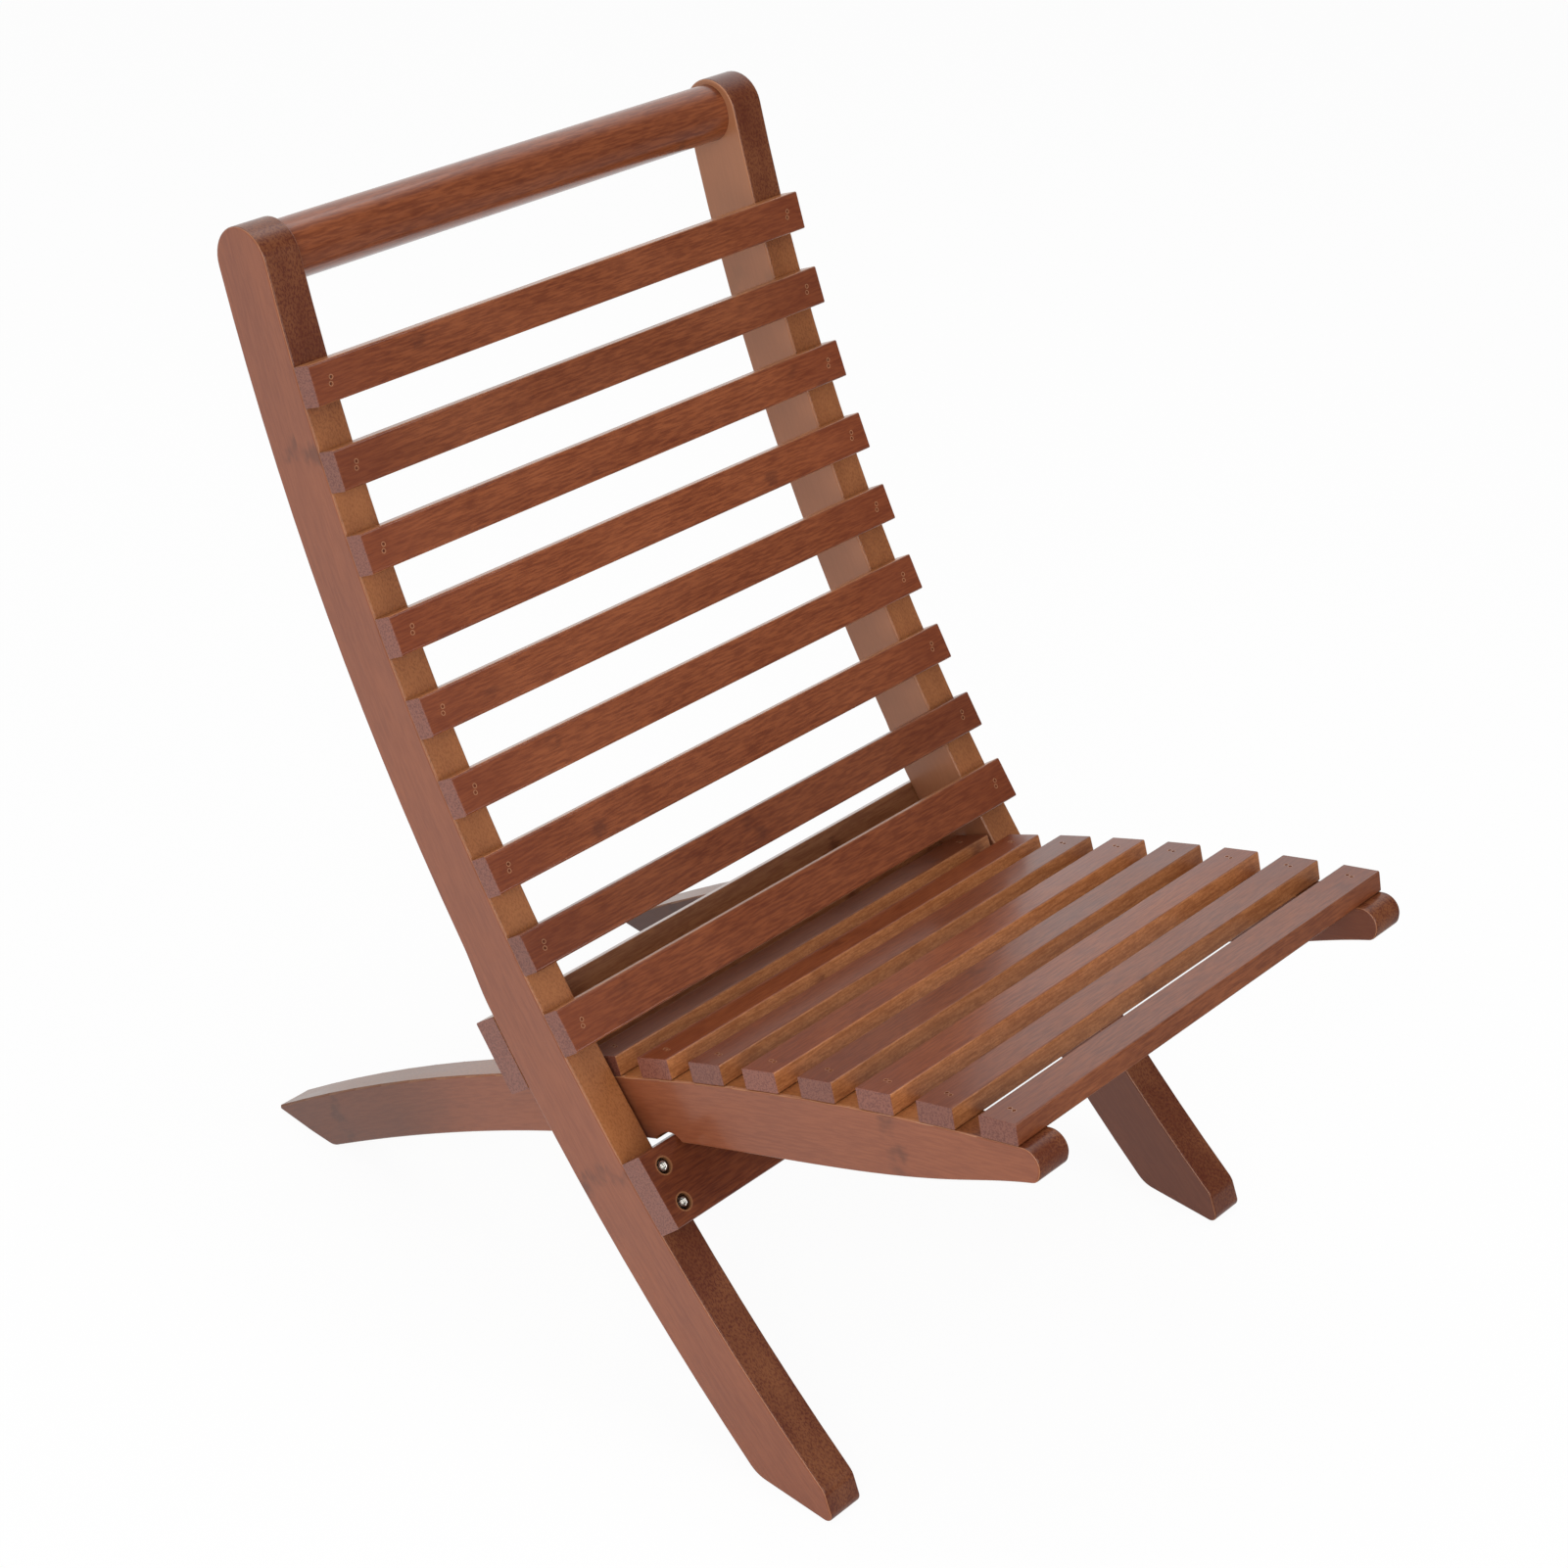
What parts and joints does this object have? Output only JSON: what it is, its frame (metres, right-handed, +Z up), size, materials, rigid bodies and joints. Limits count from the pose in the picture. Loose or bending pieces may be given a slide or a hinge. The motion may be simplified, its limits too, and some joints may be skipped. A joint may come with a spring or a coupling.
{
  "type": "folding recliner chair",
  "caption": "Low armless lounge chair in stained bamboo: a curved slatted back frame with a round handle bar, and a curved slatted seat frame that hooks into it and can be drawn out forwards.",
  "frame": {"origin": "on the floor under the middle of the chair: the centre of the bottom of its bounding box, with both pairs of feet on Z = 0", "axes": "+Z up, the chair's front (the seat nose) faces -Y, X runs across its width and +X is the sitter's left"},
  "size_m": [0.508, 0.7405, 0.781],
  "materials": {
    "back_rail_bamboo": "satin clear lacquer over a reddish-brown stain",
    "back_slat_bamboo": "satin clear lacquer over a reddish-brown stain",
    "handle_bamboo": "satin clear lacquer over a reddish-brown stain",
    "stretcher_bamboo": "satin clear lacquer over a reddish-brown stain",
    "seat_rail_bamboo": "satin clear lacquer over a reddish-brown stain",
    "seat_slat_bamboo": "satin clear lacquer over a reddish-brown stain",
    "bolt_steel": "bright zinc plate",
    "insert_steel": "plain",
    "brad_steel": "dull"
  },
  "bodies": {
    "back_frame": {"back_rail_left": "back_rail_bamboo", "back_rail_right": "back_rail_bamboo", "back_slat_1": "back_slat_bamboo", "back_slat_2": "back_slat_bamboo", "back_slat_3": "back_slat_bamboo", "back_slat_4": "back_slat_bamboo", "back_slat_5": "back_slat_bamboo", "back_slat_6": "back_slat_bamboo", "back_slat_7": "back_slat_bamboo", "back_slat_8": "back_slat_bamboo", "back_slat_9": "back_slat_bamboo", "handle_bar": "handle_bamboo", "front_stretcher": "stretcher_bamboo", "front_stretcher_bolts": "bolt_steel", "front_stretcher_inserts": "insert_steel", "rear_stretcher": "stretcher_bamboo", "rear_stretcher_bolts": "bolt_steel", "rear_stretcher_inserts": "insert_steel", "back_slat_brads": "brad_steel"},
    "seat_frame": {"seat_rail_left": "seat_rail_bamboo", "seat_rail_right": "seat_rail_bamboo", "seat_slat_1": "seat_slat_bamboo", "seat_slat_2": "seat_slat_bamboo", "seat_slat_3": "seat_slat_bamboo", "seat_slat_4": "seat_slat_bamboo", "seat_slat_5": "seat_slat_bamboo", "seat_slat_6": "seat_slat_bamboo", "seat_slat_7": "seat_slat_bamboo", "seat_slat_8": "seat_slat_bamboo", "seat_slat_brads": "brad_steel"}
  },
  "joints": [
    {"name": "seat_lift_out", "type": "hinge", "parent": "back_frame", "child": "seat_frame", "pos_m": [0, 0.27774, 0.5799], "axis": [-1, 0, 0], "range_deg": [0, 25]}
  ]
}
